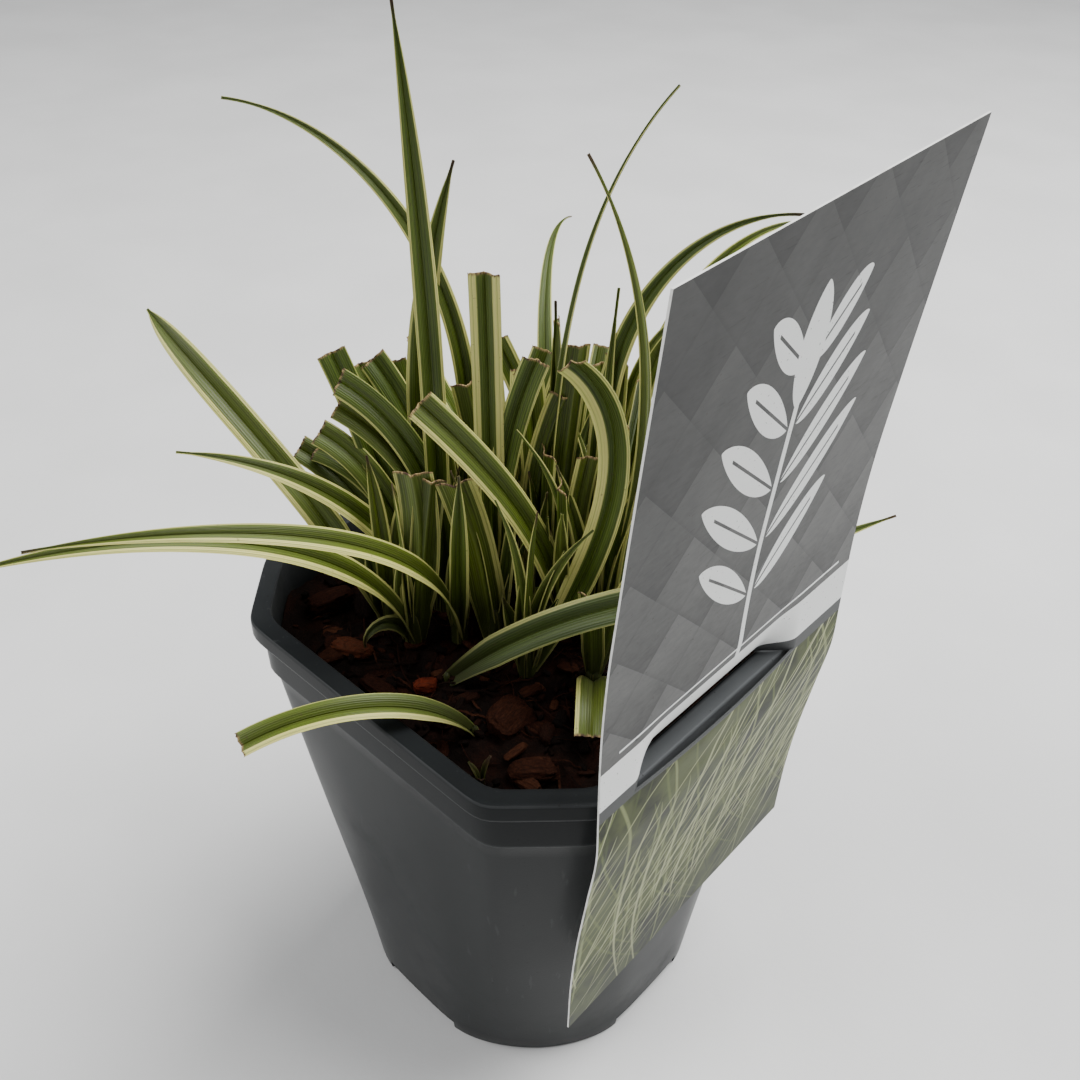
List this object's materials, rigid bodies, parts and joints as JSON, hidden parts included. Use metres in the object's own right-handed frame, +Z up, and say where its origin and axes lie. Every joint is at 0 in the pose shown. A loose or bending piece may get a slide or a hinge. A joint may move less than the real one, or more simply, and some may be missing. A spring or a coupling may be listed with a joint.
{
  "type": "potted sedge",
  "caption": "Variegated sedge clump of creased arching leaves in a square-topped nursery pot of bark mix, with a sheet label slipped on the rim.",
  "frame": {"origin": "middle of the pot's underside, in the plane that the pot stands on", "axes": "+Z up along the pot's axis; +X out of the pot's flat side that the label hangs on; the tallest leaves lean to -X -Y"},
  "size_m": [0.1776, 0.2051, 0.2989],
  "materials": {
    "pot": "satin dark grey moulded plastic",
    "bark": "damp composted bark with chips and fibres",
    "label": "thin plastic sheet with a white edge",
    "leaf": "green leaf with cream margins, slightly waxy"
  },
  "bodies": {
    "root": {"pot": "pot", "growing_medium": "bark", "label": "label", "shoot_left_tall": "leaf", "shoot_left_fan": "leaf", "shoot_front_left": "leaf", "shoot_left_low": "leaf", "shoot_inner_front": "leaf", "shoot_front_mid": "leaf", "shoot_middle_front": "leaf", "shoot_right_arch": "leaf", "shoot_right_front": "leaf", "shoot_inner_tall": "leaf", "shoot_near_right": "leaf", "shoot_edge": "leaf", "shoot_rim_side": "leaf", "shoot_middle": "leaf", "shoot_right_mid": "leaf", "shoot_right_back": "leaf", "shoot_back": "leaf", "shoot_left_arch": "leaf", "shoot_back_mid": "leaf", "shoot_label_side": "leaf", "shoot_back_left": "leaf", "shoot_back_far": "leaf"}
  },
  "joints": []
}
